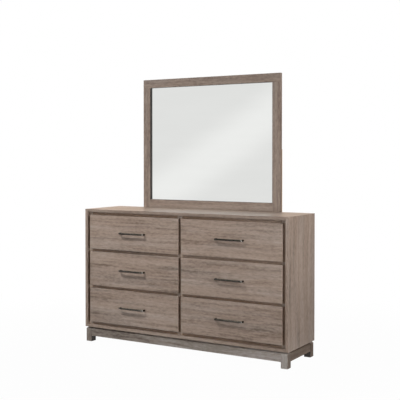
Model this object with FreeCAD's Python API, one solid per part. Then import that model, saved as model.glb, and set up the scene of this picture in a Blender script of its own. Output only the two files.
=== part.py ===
import FreeCAD, Part
import os

from FreeCAD import Vector

# Six-drawer dresser with a framed mirror that stands on the back edge of its top.
# Millimetres, +Z up, drawers open towards -Y, left and right as seen from the front.
# Pieces are drawn from the plane of the case's front edges, y = 0, and moved together at the end,
# so that the origin is on the floor in the middle of the whole object.

# Case of four mitred boards with a let-in back
CASE_WIDTH = 1500.0
CASE_DEPTH = 390.0
TOP_HEIGHT = 892.0        # floor to the top surface
BOARD = 18.0              # top, bottom and side boards
BACK_BOARD = 5.0          # hardboard back
BACK_REBATE = 9.0         # ledge in the boards that takes the back
PARTITION = 20.0          # upright board between the two columns of drawers

# Drawer fronts, and the frame of rails and stiles set back behind them
ROW_NAMES = ["lower", "middle", "upper"]
REVEAL = 21.0             # gap between the fronts and the case boards
FRONT_GAP = 20.0          # gap between neighbouring fronts
FRONT = 19.0
FRONT_EASE = 1.5
FRONT_STOP = 1.0          # air between a closed front and the frame
FRAME_LAP = 10.0          # rails and stiles reach this far behind the fronts
RAIL_DEPTH = 45.0
STILE_DEPTH = 22.0

# Drawer boxes, dovetailed to a sub-front
BOX_PLAY = 3.0            # beside a box, to the partition and to the stile
BOX_HEADROOM = 26.0       # over a box, to the rail above it
BOX_REAR_ROOM = 23.0      # behind a box, to the back board
BOX_SIDE = 12.0
BOX_EASE = 2.0            # bevelled top edges
SUBFRONT = 14.0
BOX_BACK = 12.0
BACK_INSET = 9.0          # the sides run on past the box's back
BACK_HOUSING = 4.0        # how deep the back is let into the sides
BOX_BOTTOM = 4.0
BOTTOM_LIFT = 10.0        # lower edge of the sides to the underside of the bottom
BOTTOM_GROOVE = 5.0
TAILS = 4                 # dovetails in each front corner
TAIL_ROOT = 22.0          # width of a tail at its shoulder
TAIL_FLARE = 2.5          # how much each flank leans out towards the end

# Centre guides: a steel track under each drawer and a nylon shoe that hooks into it
TRAVEL = 260.0            # how far a drawer opens
TRACK_WIDTH = 24.0
TRACK_HEIGHT = 8.0
TRACK_SHEET = 1.2
TRACK_SLOT = 11.0         # open strip between the track's lips
TRACK_END_ROOM = 4.0      # track's front end to the closed sub-front
STOP_TAB = 2.0            # tab across the channel that ends the travel
SHOE_LENGTH = 36.0
SHOE_PLATE = 42.0         # width of the plate under the drawer bottom
SHOE_TAB = 26.0           # width and height of the tab on the box's back
SHOE_TAB_SHEET = 4.0
RUN_GAP = 0.3             # running clearance of the guides
GLIDE = 3.0               # nylon pads on the front rails, under the box sides
GLIDE_WIDTH = 18.0
GLIDE_LENGTH = 30.0
GLIDE_EASE = 1.2

# Bar pulls, bent back at both ends
PULL_CENTRES = 188.0
PULL_BAR = 8.0            # thickness of the bar
PULL_HEIGHT = 11.0
PULL_REACH = 28.0
PULL_BEND = 2.0           # inner radius of the bends
PULL_EASE = 3.0           # bevel along the outer edges

# Base frame
BASE_HEIGHT = 99.0
BASE_INSET = 5.0          # leg faces behind the faces of the case
LEG = 44.0
BASE_BEVEL = 13.0         # bevel that makes the shadow groove under the case
LEG_EASE = 1.5            # bevel round the foot
FOOT = 38.0               # floor to the lower edge of the aprons
APRON = 20.0
APRON_INSET = 1.5         # apron faces behind the leg faces
CORNER_BLOCK = 35.0       # height of the corner blocks
CORNER_REACH = 40.0       # how far a block runs along each apron, past the leg

# Mirror
MIRROR_WIDTH = 1050.0
MIRROR_HEIGHT = 884.0
MIRROR_MEMBER = 57.0      # face width of the frame members
MIRROR_FRAME = 25.0       # thickness of the frame members
MEMBER_EASE = 1.2
GLASS = 4.0
GLASS_SETBACK = 13.0      # front of the frame to the glass
GLASS_LAP = 8.0           # how far the glass reaches behind the frame
BACKING = 3.0
BACKING_LAP = 18.0        # the backing board is fixed to a ledge outside the glass

# Battens that hold the mirror to the back of the case
SUPPORT_WIDTH = 45.0
SUPPORT = 20.0
SUPPORT_EASE = 2.0
SUPPORT_RISE = 400.0      # above the top surface
SUPPORT_END = 25.0        # from the outer screws to the ends of a batten
SCREW = 4.5
SCREW_LENGTH = 38.0
SCREW_HEAD = 9.0
SCREW_HEAD_HEIGHT = 2.6
SCREW_PLAY = 0.2          # round a screw, in its hole
SCREW_RISE = 60.0         # top surface to the lower screw in the mirror

# An edge counts as lying in a plane when it is this near
TOUCH = 1e-4

# Places that follow from the sizes above
ROWS = len(ROW_NAMES)
side_face = CASE_WIDTH / 2 - BOARD
case_floor = BASE_HEIGHT + BOARD
case_ceiling = TOP_HEIGHT - BOARD
front_width = side_face - REVEAL - FRONT_GAP / 2
front_height = (case_ceiling - case_floor - 2 * REVEAL - (ROWS - 1) * FRONT_GAP) / ROWS
front_centre = FRONT_GAP / 2 + front_width / 2
frame_face = FRONT + FRONT_STOP
stile_face = side_face - REVEAL - FRAME_LAP
back_face = CASE_DEPTH - BACK_BOARD
box_left = PARTITION / 2 + BOX_PLAY
box_right = stile_face - BOX_PLAY
box_centre = (box_left + box_right) / 2
box_rear = back_face - BOX_REAR_ROOM
box_back_rear = box_rear - BACK_INSET
shoe_front = box_back_rear + SHOE_TAB_SHEET - SHOE_LENGTH
leg_face = CASE_WIDTH / 2 - BASE_INSET
mirror_front = CASE_DEPTH - MIRROR_FRAME
mirror_top = TOP_HEIGHT + MIRROR_HEIGHT
opening_half = MIRROR_WIDTH / 2 - MIRROR_MEMBER
opening_low = TOP_HEIGHT + MIRROR_MEMBER
opening_high = mirror_top - MIRROR_MEMBER
support_centre = MIRROR_WIDTH / 2 - MIRROR_MEMBER / 2
support_back = CASE_DEPTH + SUPPORT
support_top = TOP_HEIGHT + SUPPORT_RISE
middle_depth = (support_back + SCREW_HEAD_HEIGHT - PULL_REACH) / 2

SIDES = {"left": -1, "right": 1}


def block(x, y, z):
    """A board between pairs of low and high limits."""
    size = [high - low for low, high in (x, y, z)]
    return Part.makeBox(*size, Vector(x[0], y[0], z[0]))


def across(points, y_low, y_high):
    """A bar whose section, a list of (x, z) points, runs along Y."""
    corners = [Vector(x, y_low, z) for x, z in points]
    face = Part.Face(Part.makePolygon(corners + corners[:1]))
    return face.extrude(Vector(0, y_high - y_low, 0))


def edges_at(shape, **planes):
    """Edges that lie in every one of the planes, such as Y=0 or X=10, Z=5."""
    found = []
    for edge in shape.Edges:
        box = edge.BoundBox
        ends = [(getattr(box, axis + "Min"), getattr(box, axis + "Max"), value)
                for axis, value in planes.items()]
        if all(abs(low - value) < TOUCH and abs(high - value) < TOUCH for low, high, value in ends):
            found.append(edge)
    return found


def on_side(shape, side):
    """A piece drawn for the right half, or its mirror image for the left half."""
    if SIDES[side] > 0:
        return shape
    return shape.mirror(Vector(0, 0, 0), Vector(1, 0, 0))


def both_sides(shape):
    return [on_side(shape, side) for side in SIDES]


def save(node, *solids):
    """Write one node, moved so that the origin is under the middle of the object."""
    shape = solids[0] if len(solids) == 1 else Part.makeCompound(list(solids))
    shape = shape.translated(Vector(0, -middle_depth, 0))
    shape.exportStep("parts/" + node + ".step")


def front_low(row):
    return case_floor + REVEAL + row * (front_height + FRONT_GAP)


def front_high(row):
    return front_low(row) + front_height


def rail_top(row):
    """Upper face of the rails that carry the drawers of a row."""
    return front_low(row) + FRAME_LAP


def rail_levels():
    """Low and high limits of each level of rails, from the bottom board to the top board."""
    lows = [case_floor] + [front_high(row) - FRAME_LAP for row in range(ROWS)]
    highs = [rail_top(row) for row in range(ROWS)] + [case_ceiling]
    return list(zip(lows, highs))


def screw_heights():
    """Two screws of each batten go into the rear rails and two into the mirror's stile."""
    into_rails = [sum(level) / 2 for level in rail_levels()[-2:]]
    return into_rails + [TOP_HEIGHT + SCREW_RISE, support_top - SUPPORT_END]


def screws(play=0.0):
    """The screws of the right batten, or with play the holes that they go through."""
    made = []
    for height in screw_heights():
        seat = Vector(support_centre, support_back, height)
        shank = Part.makeCylinder(SCREW / 2 + play, SCREW_LENGTH + play, seat, Vector(0, -1, 0))
        if play:
            made.append(shank)
            continue
        head = Part.makeCylinder(SCREW_HEAD / 2, SCREW_HEAD_HEIGHT, seat, Vector(0, 1, 0))
        made.append(head.fuse(shank).removeSplitter())
    return made


def drilled(shape):
    """Cut the screw holes of both battens."""
    holes = [hole for screw in screws(SCREW_PLAY) for hole in both_sides(screw)]
    return shape.cut(holes)


def case_boards():
    half = CASE_WIDTH / 2
    back = block((-side_face - BACK_REBATE, side_face + BACK_REBATE), (back_face, CASE_DEPTH),
                 (case_floor - BACK_REBATE, case_ceiling + BACK_REBATE))
    top = across([(-half, TOP_HEIGHT), (half, TOP_HEIGHT), (side_face, case_ceiling),
                  (-side_face, case_ceiling)], 0, CASE_DEPTH)
    bottom = across([(-half, BASE_HEIGHT), (half, BASE_HEIGHT), (side_face, case_floor),
                     (-side_face, case_floor)], 0, CASE_DEPTH)
    upright = across([(half, BASE_HEIGHT), (half, TOP_HEIGHT), (side_face, case_ceiling),
                      (side_face, case_floor)], 0, CASE_DEPTH)
    save("top_panel", top.cut(back))
    save("bottom_panel", bottom.cut(back))
    for side in SIDES:
        save(side + "_side_panel", on_side(upright.cut(back), side))
    save("back_board", drilled(back))
    save("centre_partition", block((-PARTITION / 2, PARTITION / 2), (frame_face, back_face),
                                   (case_floor, case_ceiling)))


def drawer_frame():
    """Stiles beside the side panels, and rails from the stiles or side panels to the partition."""
    stile = block((stile_face, side_face), (frame_face, frame_face + STILE_DEPTH),
                  (case_floor, case_ceiling))
    for side in SIDES:
        save(side + "_stile", on_side(stile, side))
    front_rails = []
    rear_rails = []
    for level in rail_levels():
        front = block((PARTITION / 2, stile_face), (frame_face, frame_face + RAIL_DEPTH), level)
        rear = block((PARTITION / 2, side_face), (back_face - RAIL_DEPTH, back_face), level)
        front_rails += both_sides(front)
        rear_rails += [drilled(rail) for rail in both_sides(rear)]
    save("front_rails", *front_rails)
    save("rear_rails", *rear_rails)


def track(row):
    """Lipped channel of sheet steel, with a tab across it where the shoe stops."""
    wall = TRACK_WIDTH / 2
    inner = wall - TRACK_SHEET
    lip = TRACK_SLOT / 2
    under_lip = TRACK_HEIGHT - TRACK_SHEET
    half = [(wall, 0), (wall, TRACK_HEIGHT), (lip, TRACK_HEIGHT), (lip, under_lip),
            (inner, under_lip), (inner, TRACK_SHEET)]
    section = half + [(-x, z) for x, z in reversed(half)]
    low = rail_top(row)
    points = [(box_centre + x, low + z) for x, z in section]
    channel = across(points, FRONT + SUBFRONT + TRACK_END_ROOM, back_face)
    stop = shoe_front - TRAVEL - RUN_GAP
    tab = block((box_centre - inner, box_centre + inner), (stop - STOP_TAB, stop),
                (low + TRACK_SHEET, low + under_lip))
    return channel.fuse(tab).removeSplitter()


def glides(row):
    """The two pads under the sides of a drawer, bevelled where the sides come on."""
    low = rail_top(row)
    front = frame_face + (RAIL_DEPTH - GLIDE_LENGTH) / 2
    made = []
    for start in (PARTITION / 2, stile_face - GLIDE_WIDTH):
        pad = block((start, start + GLIDE_WIDTH), (front, front + GLIDE_LENGTH), (low, low + GLIDE))
        ends = edges_at(pad, Y=front, Z=low + GLIDE) + edges_at(pad, Y=front + GLIDE_LENGTH, Z=low + GLIDE)
        made.append(pad.makeChamfer(GLIDE_EASE, ends))
    return made


def guides():
    tracks = []
    pads = []
    for row in range(ROWS):
        tracks += both_sides(track(row))
        for pad in glides(row):
            pads += both_sides(pad)
    save("drawer_tracks", *tracks)
    save("rail_glides", *pads)


def drawer_front(row):
    front = block((front_centre - front_width / 2, front_centre + front_width / 2), (0, FRONT),
                  (front_low(row), front_high(row)))
    return front.makeFillet(FRONT_EASE, edges_at(front, Y=0))


def tails(x_low, z_low, z_high):
    """Tails on the front end of a box side, wider at the end than at the shoulder."""
    pitch = (z_high - z_low) / TAILS
    made = []
    for number in range(TAILS):
        middle = z_low + pitch * (number + 0.5)
        root = TAIL_ROOT / 2
        end = root + TAIL_FLARE
        outline = [(FRONT, middle - end), (FRONT, middle + end),
                   (FRONT + SUBFRONT, middle + root), (FRONT + SUBFRONT, middle - root)]
        corners = [Vector(x_low, y, z) for y, z in outline]
        face = Part.Face(Part.makePolygon(corners + corners[:1]))
        made.append(face.extrude(Vector(BOX_SIDE, 0, 0)))
    return made


def eased_top(board, high):
    """Bevel the long upper edges of a box board."""
    box = board.BoundBox
    if box.XLength > box.YLength:
        edges = edges_at(board, Y=box.YMin, Z=high) + edges_at(board, Y=box.YMax, Z=high)
    else:
        edges = edges_at(board, X=box.XMin, Z=high) + edges_at(board, X=box.XMax, Z=high)
    return board.makeChamfer(BOX_EASE, edges)


def box_limits(row):
    """Lower and upper edges of the sides of a drawer box."""
    low = rail_top(row) + GLIDE + RUN_GAP
    high = front_high(row) - FRAME_LAP - BOX_HEADROOM
    return low, high


def drawer_box(row):
    """Two sides, sub-front and back, and the bottom in its grooves."""
    low, high = box_limits(row)
    shoulder = FRONT + SUBFRONT
    inside = (box_left + BOX_SIDE, box_right - BOX_SIDE)
    underside = low + BOTTOM_LIFT
    bottom = block((inside[0] - BOTTOM_GROOVE, inside[1] + BOTTOM_GROOVE),
                   (shoulder - BOTTOM_GROOVE, box_back_rear), (underside, underside + BOX_BOTTOM))
    back = block((inside[0] - BACK_HOUSING, inside[1] + BACK_HOUSING),
                 (box_back_rear - BOX_BACK, box_back_rear), (underside + BOX_BOTTOM, high))
    subfront = eased_top(block((box_left, box_right), (FRONT, shoulder), (low, high)), high)
    sides = []
    for x_low in (box_left, inside[1]):
        corner = tails(x_low, low, high)
        side = block((x_low, x_low + BOX_SIDE), (shoulder, box_rear), (low, high))
        side = eased_top(side, high).fuse(corner).removeSplitter()
        sides.append(side.cut([bottom, back]))
        subfront = subfront.cut(corner)
    return sides + [subfront.cut(bottom), eased_top(back, high)], bottom


def shoe(row):
    """Nylon shoe: a hooked foot in the track, a plate under the bottom and a tab on the back."""
    low = rail_top(row)
    underside = box_limits(row)[0] + BOTTOM_LIFT
    neck = TRACK_SLOT / 2 - RUN_GAP
    foot = TRACK_WIDTH / 2 - TRACK_SHEET - RUN_GAP
    plate = SHOE_PLATE / 2
    foot_low = low + TRACK_SHEET + RUN_GAP
    foot_high = low + TRACK_HEIGHT - TRACK_SHEET - RUN_GAP
    plate_low = low + TRACK_HEIGHT + RUN_GAP
    half = [(foot, foot_low), (foot, foot_high), (neck, foot_high), (neck, plate_low),
            (plate, plate_low), (plate, underside)]
    section = half + [(-x, z) for x, z in reversed(half)]
    body = across([(box_centre + x, z) for x, z in section], shoe_front, shoe_front + SHOE_LENGTH)
    tab = block((box_centre - SHOE_TAB / 2, box_centre + SHOE_TAB / 2),
                (box_back_rear, box_back_rear + SHOE_TAB_SHEET), (underside, underside + SHOE_TAB))
    return body.fuse(tab).removeSplitter()


def pull(row):
    """Flat bar bent back at both ends to the drawer front."""
    half = (PULL_CENTRES + PULL_BAR) / 2
    middle = (front_low(row) + front_high(row)) / 2
    height = (middle - PULL_HEIGHT / 2, middle + PULL_HEIGHT / 2)
    ends = (front_centre - half, front_centre + half)
    outside = block(ends, (-PULL_REACH, 0), height)
    corners = [edge for x in ends for edge in edges_at(outside, X=x, Y=-PULL_REACH)]
    outside = outside.makeFillet(PULL_BEND + PULL_BAR, corners)
    rims = [edge for z in height for edge in edges_at(outside, Z=z)]
    rims = [edge for edge in rims if edge.BoundBox.YMin < -TOUCH]
    outside = outside.makeChamfer(PULL_EASE, rims)
    gap_ends = (ends[0] + PULL_BAR, ends[1] - PULL_BAR)
    gap_front = PULL_BAR - PULL_REACH
    gap = block(gap_ends, (gap_front, PULL_BAR), height)
    corners = [edge for x in gap_ends for edge in edges_at(gap, X=x, Y=gap_front)]
    return outside.cut(gap.makeFillet(PULL_BEND, corners))


def drawers():
    for row in range(ROWS):
        boards, bottom = drawer_box(row)
        for side in SIDES:
            place = "_" + ROW_NAMES[row] + "_" + side
            save("drawer_front" + place, on_side(drawer_front(row), side))
            save("drawer_box" + place, *[on_side(board, side) for board in boards])
            save("drawer_bottom" + place, on_side(bottom, side))
            save("drawer_pull" + place, on_side(pull(row), side))
            save("guide_shoe" + place, on_side(shoe(row), side))


def leg(depth, outer_face):
    """A right leg between two depths, bevelled at the top on its outer faces and round the foot."""
    post = block((leg_face - LEG, leg_face), depth, (0, BASE_HEIGHT))
    shoulder = edges_at(post, X=leg_face, Z=BASE_HEIGHT) + edges_at(post, Y=outer_face, Z=BASE_HEIGHT)
    post = post.makeChamfer(BASE_BEVEL, shoulder)
    return post.makeChamfer(LEG_EASE, edges_at(post, Z=0))


def base():
    front_legs = (BASE_INSET, BASE_INSET + LEG)
    rear_legs = (CASE_DEPTH - BASE_INSET - LEG, CASE_DEPTH - BASE_INSET)
    height = (FOOT, BASE_HEIGHT)
    for side in SIDES:
        save("front_" + side + "_leg", on_side(leg(front_legs, front_legs[0]), side))
        save("rear_" + side + "_leg", on_side(leg(rear_legs, rear_legs[1]), side))

    between = (LEG - leg_face, leg_face - LEG)
    front_face = BASE_INSET + APRON_INSET
    rear_face = CASE_DEPTH - front_face
    outer = leg_face - APRON_INSET
    front = block(between, (front_face, front_face + APRON), height)
    rear = block(between, (rear_face - APRON, rear_face), height)
    flank = block((outer - APRON, outer), (front_legs[1], rear_legs[0]), height)
    save("front_apron", front.makeChamfer(BASE_BEVEL, edges_at(front, Y=front_face, Z=BASE_HEIGHT)))
    save("rear_apron", rear.makeChamfer(BASE_BEVEL, edges_at(rear, Y=rear_face, Z=BASE_HEIGHT)))
    flank = flank.makeChamfer(BASE_BEVEL, edges_at(flank, X=outer, Z=BASE_HEIGHT))
    for side in SIDES:
        save(side + "_apron", on_side(flank, side))

    # Each corner block fills the corner of two aprons, round the leg, and is cut off at 45 degrees
    inner_x = outer - APRON
    inner_y = front_face + APRON
    reach = CORNER_REACH + LEG - APRON - APRON_INSET
    low = BASE_HEIGHT - CORNER_BLOCK
    corners = [Vector(x, y, low) for x, y in
               [(inner_x, inner_y), (inner_x, inner_y + reach), (inner_x - reach, inner_y)]]
    wedge = Part.Face(Part.makePolygon(corners + corners[:1])).extrude(Vector(0, 0, CORNER_BLOCK))
    front_block = wedge.cut(block((leg_face - LEG, leg_face), front_legs, (0, BASE_HEIGHT)))
    rear_block = front_block.mirror(Vector(0, CASE_DEPTH / 2, 0), Vector(0, 1, 0))
    save("corner_blocks", *both_sides(front_block), *both_sides(rear_block))


def mirror():
    """Top rail over the stiles, bottom rail between them, glass and backing in stepped rebates."""
    glass_face = mirror_front + GLASS_SETBACK
    backing_face = glass_face + GLASS
    glass = block((-opening_half - GLASS_LAP, opening_half + GLASS_LAP), (glass_face, backing_face),
                  (opening_low - GLASS_LAP, opening_high + GLASS_LAP))
    backing_x = (-opening_half - BACKING_LAP, opening_half + BACKING_LAP)
    backing_z = (opening_low - BACKING_LAP, opening_high + BACKING_LAP)
    backing = block(backing_x, (backing_face, backing_face + BACKING), backing_z)
    pocket = block(backing_x, (backing_face, CASE_DEPTH), backing_z)

    def member(x, z):
        stick = block(x, (mirror_front, CASE_DEPTH), z)
        stick = stick.makeFillet(MEMBER_EASE, edges_at(stick, Y=mirror_front))
        return stick.cut([glass, pocket])

    half = MIRROR_WIDTH / 2
    save("mirror_top_rail", member((-half, half), (opening_high, mirror_top)))
    save("mirror_bottom_rail", member((-opening_half, opening_half), (TOP_HEIGHT, opening_low)))
    stile = member((opening_half, half), (TOP_HEIGHT, opening_high))
    for side in SIDES:
        save("mirror_" + side + "_stile", drilled(on_side(stile, side)))
    save("mirror_glass", glass)
    save("mirror_backing", backing)

    low = screw_heights()[0] - SUPPORT_END
    batten = block((support_centre - SUPPORT_WIDTH / 2, support_centre + SUPPORT_WIDTH / 2),
                   (CASE_DEPTH, support_back), (low, support_top))
    batten = batten.makeChamfer(SUPPORT_EASE, edges_at(batten, Y=support_back))
    save("mirror_supports", *[drilled(piece) for piece in both_sides(batten)])
    save("support_screws", *[piece for screw in screws() for piece in both_sides(screw)])


os.makedirs("parts", exist_ok=True)
case_boards()
drawer_frame()
guides()
drawers()
base()
mirror()
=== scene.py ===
import math

import bmesh
import bpy
from mathutils import Matrix, Vector


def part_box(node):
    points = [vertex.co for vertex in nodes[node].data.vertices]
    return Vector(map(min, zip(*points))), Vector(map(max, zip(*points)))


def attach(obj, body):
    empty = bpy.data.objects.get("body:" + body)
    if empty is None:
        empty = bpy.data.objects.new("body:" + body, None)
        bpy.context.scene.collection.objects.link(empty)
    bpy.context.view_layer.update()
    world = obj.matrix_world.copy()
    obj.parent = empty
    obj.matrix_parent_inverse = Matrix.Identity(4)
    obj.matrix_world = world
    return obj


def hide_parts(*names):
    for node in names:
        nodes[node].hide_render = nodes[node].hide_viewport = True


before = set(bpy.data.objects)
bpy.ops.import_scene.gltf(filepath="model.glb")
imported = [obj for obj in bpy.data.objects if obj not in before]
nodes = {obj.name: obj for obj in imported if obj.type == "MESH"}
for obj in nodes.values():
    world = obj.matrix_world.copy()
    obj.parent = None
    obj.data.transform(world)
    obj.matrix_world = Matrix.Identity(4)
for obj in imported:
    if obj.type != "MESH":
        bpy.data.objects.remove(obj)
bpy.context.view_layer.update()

MM = 0.001
ROWS = ["lower", "middle", "upper"]
SIDES = ["left", "right"]
DRAWERS = [row + "_" + side for row in ROWS for side in SIDES]

# Sockets of a Mix node, the two that it mixes and its result, for numbers, vectors and colours
NUMBER_A, NUMBER_B, NUMBER_RESULT = 2, 3, 0
VECTOR_A, VECTOR_B, VECTOR_RESULT = 4, 5, 1
MIX_A, MIX_B, MIX_RESULT = 6, 7, 2


# Materials

# The oak print from its dark streaks to its light ones, and darker copies of it as painted shade: for the
# top and the mirror, for the uprights behind the drawer fronts and for the rails there
OAK = ["#5e4d41", "#7f6d60", "#928073", "#9e8c7f", "#aa988b"]
SHADED_OAK = ["#55453a", "#736257", "#847468", "#8f7f73", "#9a8a7e"]
SHADED_FRAME_OAK = ["#513d30", "#6e5948", "#806958", "#8b7361", "#957e6c"]
SHADED_RAIL_OAK = ["#56422f", "#755f4c", "#876f5d", "#917967", "#9b8371"]

# The solid oak of the base on its front and back, and darker tones for its flanks as painted shade
GREY_OAK = ["#53463e", "#796c62", "#877e75", "#99908a", "#a79f9a"]
FLANK_SHADE_OAK = ["#3b2f25", "#524337", "#605043", "#6b5b4f", "#77675b"]

PAINTED_CROSSING_LIGHT = "#a59486"    # painted light where the rails and the uprights behind the fronts meet, where the gaps cross
PAINTED_SHADE = "#1d1713"    # painted shade: near black on the inner edges of the mirror's opening and on the inner faces of the base

# Which stretch of the endless grain a board is cut from, in metres
STRETCHES = {
    "top": (8.8, 6.3, 5.5),
    "bottom": (0.3, 0.0, 0.6),
    "sides": (0.0, 4.1, 2.7),
    "left_fronts": (7.9, 0.0, 2.8),
    "right_fronts": (8.6, 0.0, 6.2),
    "rails": (0.2, 0.0, 0.9),
    "stiles": (0.9, 0.0, 0.3),
    "mirror_rails": (0.5, 0.0, 4.6),
    "mirror_stiles": (0.4, 0.0, 1.3),
    "front": (5.3, 0.0, 0.0),
    "legs": (0.0, 0.0, 0.0),
    "shaded_flanks": (0.0, 0.0, 0.0),
}

# What wood shows, as a length along the grain and a width in millimetres. Real streaks and flecks
# go down to 1 mm wide. They are drawn 10 to 14 mm wide so that they show.
WANDER = (520, 160)
ARCH = (800, 90)
ARCH_PATCH = (600, 170)
BROAD_STREAK = (560, 75)
STREAK = (1000, 14)
FLECK = (30, 10)
FIBRE = (110, 2.4)
PIT = (34, 1.3)
KNOT_CELL = (420, 170)
GREY_CAST = (700, 60)
RUBBED_PLACE = (90, 40)

WANDER_REACH = 36 * MM      # how far the streaks stray from a ruled line
ARCH_LINES = 16.0           # nested lines from the darkest noise to the lightest
KNOTTED = 0.12              # share of the cells that have a knot
ARRIS = 1.6 * MM            # radius over which an edge is rubbed
GRAIN_RELIEF = 0.4 * MM
WOOD_IOR = 1.48             # one value for melamine film, lacquer and bare wood
SIGHT_ROUNDING = 1.5 * MM   # of the edges round the mirror's opening
# Painted light where the gaps between the drawer fronts cross
RAIL_CROSSING = -17 * MM    # place on the rails that shows where the gaps cross
CROSSING_LIGHT_FULL = 6 * MM         # from the middle of a crossing, where the painted light is full
CROSSING_LIGHT_NONE = 12 * MM
# A painted highlight on the right bend of each pull
BEND_INSET = 4 * MM         # from a pull's front and end to the middle of its bend
BEND_FULL = 2.5 * MM        # from that middle, where the painted highlight is full
BEND_NONE = 4.5 * MM
BEND_HIGHLIGHT = 0.75          # share of the painted highlight there
PULL_SHEEN = 1.6            # painted sheen: how much paler a pull grows towards its right end, per metre


def linear(hex_colour):
    """An sRGB hex colour as the linear colour that a socket takes."""
    channels = [int(hex_colour[place:place + 2], 16) / 255 for place in (1, 3, 5)]
    return [c / 12.92 if c <= 0.04045 else ((c + 0.055) / 1.055) ** 2.4 for c in channels] + [1.0]


def add(tree, kind, sockets, stops=(), **settings):
    """Add a node: a socket takes a value or another node's output, a colour ramp takes stops."""
    made = tree.nodes.new("ShaderNode" + kind)
    for setting, value in settings.items():
        setattr(made, setting, value)
    for socket, value in sockets.items():
        if isinstance(value, bpy.types.NodeSocket):
            tree.links.new(value, made.inputs[socket])
        else:
            made.inputs[socket].default_value = value
    for number, (position, colour) in enumerate(stops):
        if number < 2:
            stop = made.color_ramp.elements[number]
        else:
            stop = made.color_ramp.elements.new(position)
        stop.position = position
        stop.color = linear(colour)
    return made


def new_material(name):
    material = bpy.data.materials.new(name)
    material.use_nodes = True
    material.node_tree.nodes.clear()
    return material, material.node_tree


def surface(tree, sockets):
    """The shader of a material, and its output."""
    shader = add(tree, "BsdfPrincipled", sockets)
    add(tree, "OutputMaterial", {"Surface": shader.outputs["BSDF"]})


def repeats(along, length, width):
    """Pattern repeats per metre for a figure so many millimetres long and wide, by grain axis."""
    return [1 / ((length if axis == along else width) * MM) for axis in "XYZ"]


def evenly(tones):
    """Tones as evenly spaced stops of a colour ramp."""
    return [(number / (len(tones) - 1), tone) for number, tone in enumerate(tones)]


def side_faces(tree, full):
    """1 on faces whose normal lies along X by at least the share full, 0 on the others."""
    facing = add(tree, "TexCoord", {}).outputs["Normal"]
    share = add(tree, "VectorMath", {0: facing}, operation="ABSOLUTE")
    share = add(tree, "SeparateXYZ", {"Vector": share.outputs["Vector"]})
    return add(tree, "MapRange", {"Value": share.outputs["X"], "From Min": 0.6, "From Max": full}).outputs[0]


def grain(tree, place, along, size, detail, output="Fac"):
    """Soft random figure of a length along the grain and a width."""
    spread = add(tree, "Mapping", {"Vector": place, "Scale": repeats(along, *size)})
    return add(tree, "TexNoise", {"Vector": spread.outputs["Vector"], "Scale": 1.0, "Detail": detail,
                                  "Roughness": 0.55}).outputs[output]


def turned_boards(tree, place):
    """Grain along Y instead of X on the boards at the sides of a box."""
    ahead = add(tree, "SeparateXYZ", {"Vector": place})
    quarter = add(tree, "CombineXYZ", {"X": ahead.outputs["Y"], "Y": ahead.outputs["X"],
                                       "Z": ahead.outputs["Z"]})
    return add(tree, "Mix", {0: side_faces(tree, 0.8), VECTOR_A: place, VECTOR_B: quarter.outputs[0]},
               data_type="VECTOR").outputs[VECTOR_RESULT]


def wandering(tree, place, along):
    """The grain strays sideways, so that the streaks aren't ruled lines."""
    reach = [0.0 if axis == along else WANDER_REACH for axis in "XYZ"]
    stray = grain(tree, place, along, WANDER, 1.0, "Color")
    return add(tree, "VectorMath", {0: stray, 1: reach, 2: place}, operation="MULTIPLY_ADD").outputs["Vector"]


def arches(tree, place, along):
    """Nested arches of flat-sawn boards, which show in patches."""
    contour = add(tree, "Math", {0: grain(tree, place, along, ARCH, 1.0), 1: ARCH_LINES},
                  operation="MULTIPLY")
    lines = add(tree, "Math", {0: contour.outputs[0], 1: 1.0}, operation="PINGPONG")
    lines = add(tree, "Math", {0: lines.outputs[0], 1: 0.5}, operation="SUBTRACT")
    patch = add(tree, "MapRange", {"Value": grain(tree, place, along, ARCH_PATCH, 1.0), "From Min": 0.48,
                                   "From Max": 0.62}, interpolation_type="SMOOTHSTEP")
    return add(tree, "Math", {0: lines.outputs[0], 1: patch.outputs[0], 2: 0.5},
               operation="MULTIPLY_ADD").outputs[0]


def grain_tone(tree, place, along, fibre, contrast):
    """From 0 in the darkest streaks to 1 in the lightest, with each figure's share in it."""
    shares = [(grain(tree, place, along, BROAD_STREAK, 2.0), 0.9),
              (grain(tree, place, along, STREAK, 3.0), 1.15),
              (grain(tree, place, along, FLECK, 2.0), 0.9),
              (fibre, 0.35),
              (arches(tree, place, along), 0.3)]
    tone = 0.5 - 0.5 * contrast * sum(share for figure, share in shares)
    for figure, share in shares:
        tone = add(tree, "Math", {0: figure, 1: share * contrast, 2: tone},
                   operation="MULTIPLY_ADD").outputs[0]
    return tone


def shaded_flanks(tree, colour, own_place, tone, tones):
    """Painted shade: darker tones on the faces to either side of a base piece, near black on those turned
    inwards.
    """
    other = add(tree, "ValToRGB", {"Fac": tone}, stops=evenly(tones))
    colour = add(tree, "Mix", {0: side_faces(tree, 0.8), MIX_A: colour, MIX_B: other.outputs["Color"]},
                 data_type="RGBA").outputs[MIX_RESULT]
    # A face is turned inwards where its normal points back across the middle of the dresser
    facing = add(tree, "TexCoord", {}).outputs["Normal"]
    outwards = add(tree, "VectorMath", {0: facing, 1: own_place}, operation="MULTIPLY")
    outwards = add(tree, "SeparateXYZ", {"Vector": outwards.outputs["Vector"]})
    least = add(tree, "Math", {0: outwards.outputs["X"], 1: outwards.outputs["Y"]}, operation="MINIMUM")
    inner = add(tree, "MapRange", {"Value": least.outputs[0], "From Min": -0.05, "From Max": -0.1,
                                   "To Max": 0.95})
    return add(tree, "Mix", {0: inner.outputs[0], MIX_A: colour, MIX_B: linear(PAINTED_SHADE)},
               data_type="RGBA").outputs[MIX_RESULT]


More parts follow.
